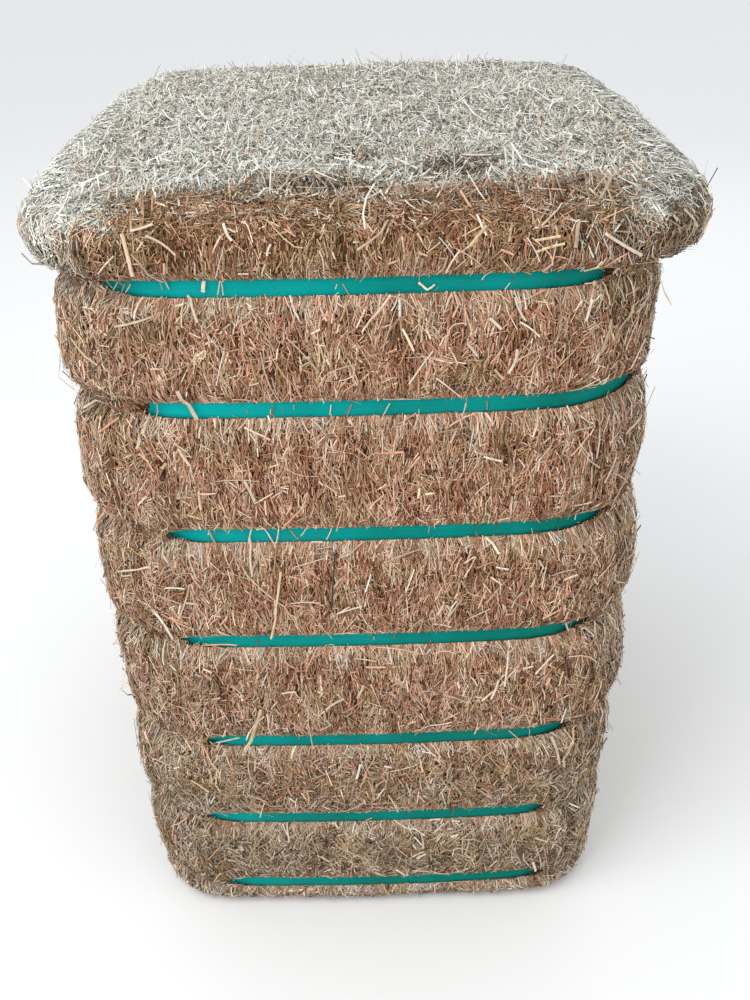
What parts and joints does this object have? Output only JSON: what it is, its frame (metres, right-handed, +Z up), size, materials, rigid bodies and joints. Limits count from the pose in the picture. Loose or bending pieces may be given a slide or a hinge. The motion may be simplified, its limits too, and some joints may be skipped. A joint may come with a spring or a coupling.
{
  "type": "square straw bale",
  "caption": "Tall block of pressed cereal straw, pulled in at intervals by flat green plastic straps sunk in grooves, with a loose overhanging top.",
  "frame": {"origin": "on the floor below the middle of the bale's box", "axes": "+Z up, the longest side; the front faces -Y; X is the shortest side"},
  "size_m": [0.7376, 0.853, 1.014],
  "materials": {
    "straw": "dry pressed straw, matt",
    "strap": "satin extruded band"
  },
  "bodies": {
    "root": {"straw_block": "straw", "strap_1": "strap", "strap_2": "strap", "strap_3": "strap", "strap_4": "strap", "strap_5": "strap", "strap_6": "strap", "strap_7": "strap"}
  },
  "joints": []
}
